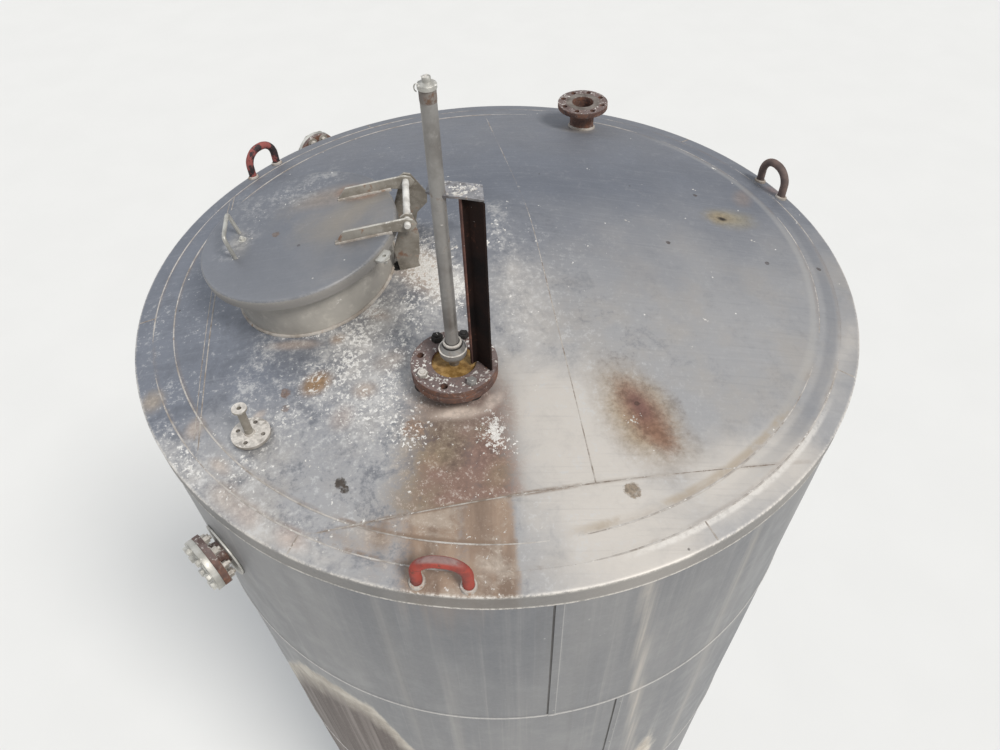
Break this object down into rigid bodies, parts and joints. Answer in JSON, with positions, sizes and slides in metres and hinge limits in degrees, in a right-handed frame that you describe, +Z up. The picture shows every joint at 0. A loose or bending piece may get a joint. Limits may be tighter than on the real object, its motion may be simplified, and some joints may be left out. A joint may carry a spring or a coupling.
{
  "type": "vertical storage tank",
  "caption": "Tall insulated vertical tank in sheet cladding, with a shallow cone roof, a hinged manway lid, a standpipe, nozzles and lifting lugs.",
  "frame": {"origin": "middle of the base, on the floor", "axes": "+Z up along the tank's axis, -Y towards the side from which the roof was seen, +X to that viewer's right"},
  "size_m": [2.3, 2.3, 11.661],
  "materials": {
    "cladding": "weathered satin sheet",
    "shell": "dull plate",
    "roof_steel": "weathered plate with stains",
    "lid_steel": "weathered plate",
    "weathered_steel": "dull, limed over",
    "bright_steel": "satin",
    "rusty_steel": "rusted",
    "lug_steel": "worn red primer over rust"
  },
  "bodies": {
    "tank": {"floor_plate": "shell", "wall_1": "shell", "wall_2": "shell", "wall_3": "shell", "wall_4": "shell", "wall_5": "shell", "wall_6": "shell", "cladding_ring_1": "cladding", "cladding_ring_2": "cladding", "cladding_ring_3": "cladding", "cladding_ring_4": "cladding", "cladding_ring_5": "cladding", "cladding_ring_6": "cladding", "cladding_ring_7": "cladding", "cladding_ring_8": "cladding", "cladding_ring_9": "cladding", "cladding_ring_10": "cladding", "roof_plate_front": "roof_steel", "roof_plate_left": "roof_steel", "roof_plate_middle": "roof_steel", "roof_plate_right": "roof_steel", "rear_insert": "roof_steel", "rim_segment_1": "roof_steel", "rim_segment_2": "roof_steel", "rim_segment_3": "roof_steel", "rim_segment_4": "roof_steel", "rim_segment_5": "roof_steel", "rim_segment_6": "roof_steel", "manway_neck": "weathered_steel", "manway_lug_far": "weathered_steel", "manway_lug_near": "weathered_steel", "manway_pin": "bright_steel", "pipe_nozzle": "rusty_steel", "pipe_flange": "rusty_steel", "pipe_union": "bright_steel", "pipe_stem": "weathered_steel", "pipe_cap": "bright_steel", "angle_upright": "rusty_steel", "pipe_bracket": "weathered_steel", "vent_nozzle": "bright_steel", "vent_stem": "bright_steel", "rear_nozzle": "weathered_steel", "side_nozzle_front": "rusty_steel", "side_nozzle_front_blind": "bright_steel", "side_nozzle_back": "rusty_steel", "side_nozzle_back_blind": "bright_steel", "lifting_lug_1": "lug_steel", "lifting_lug_2": "lug_steel", "lifting_lug_3": "lug_steel"},
    "manway_lid": {"manway_lid": "lid_steel", "manway_strap_far": "weathered_steel", "manway_strap_near": "weathered_steel", "manway_ear": "weathered_steel", "manway_handle": "bright_steel"}
  },
  "joints": [
    {"name": "manway_lid_hinge", "type": "hinge", "parent": "tank", "child": "manway_lid", "pos_m": [-0.24918, -0.08311, 11.05999], "axis": [-0.0799, 0.9966, 0.0199], "range_deg": [0, 100]}
  ]
}
